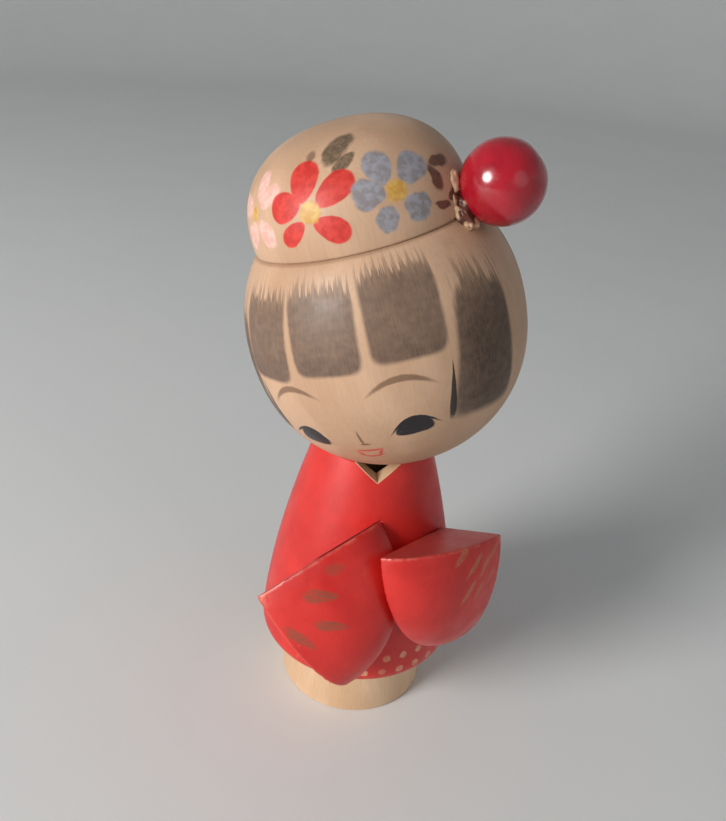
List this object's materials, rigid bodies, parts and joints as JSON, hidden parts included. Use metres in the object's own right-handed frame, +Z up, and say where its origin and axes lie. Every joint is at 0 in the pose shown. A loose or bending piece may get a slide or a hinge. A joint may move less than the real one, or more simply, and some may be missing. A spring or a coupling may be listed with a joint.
{
  "type": "kokeshi doll",
  "caption": "Turned wooden kokeshi doll: a ball head with a domed bun and a side bead turns on a dowel in the collar of a round-robed body with applied sleeves.",
  "frame": {"origin": "middle of the foot's flat underside, on the body's turning axis", "axes": "+Z up along the body's turning axis, -Y the way the neckline and the front of the robe face, +X the doll's left"},
  "size_m": [0.0643, 0.0686, 0.1506],
  "materials": {
    "robe_lacquer": "turned wood brushed with satin red lacquer, the foot left bare and waxed",
    "painted_wood": "bare turned wood with a thin clear wax, hair, face and flowers painted by hand",
    "bead_lacquer": "turned wooden bead in high gloss crimson lacquer",
    "dowel_wood": "plain sanded hardwood dowel"
  },
  "bodies": {
    "body": {"body": "robe_lacquer", "neck_peg": "dowel_wood", "left_sleeve": "robe_lacquer", "left_sleeve_peg": "dowel_wood", "right_sleeve": "robe_lacquer", "right_sleeve_peg": "dowel_wood"},
    "head": {"head": "painted_wood", "bead": "bead_lacquer", "bead_peg": "dowel_wood"}
  },
  "joints": [
    {"name": "head_turn", "type": "hinge", "parent": "body", "child": "head", "pos_m": [0, 0, 0.1059], "axis": [0, 0, 1], "continuous": true}
  ]
}
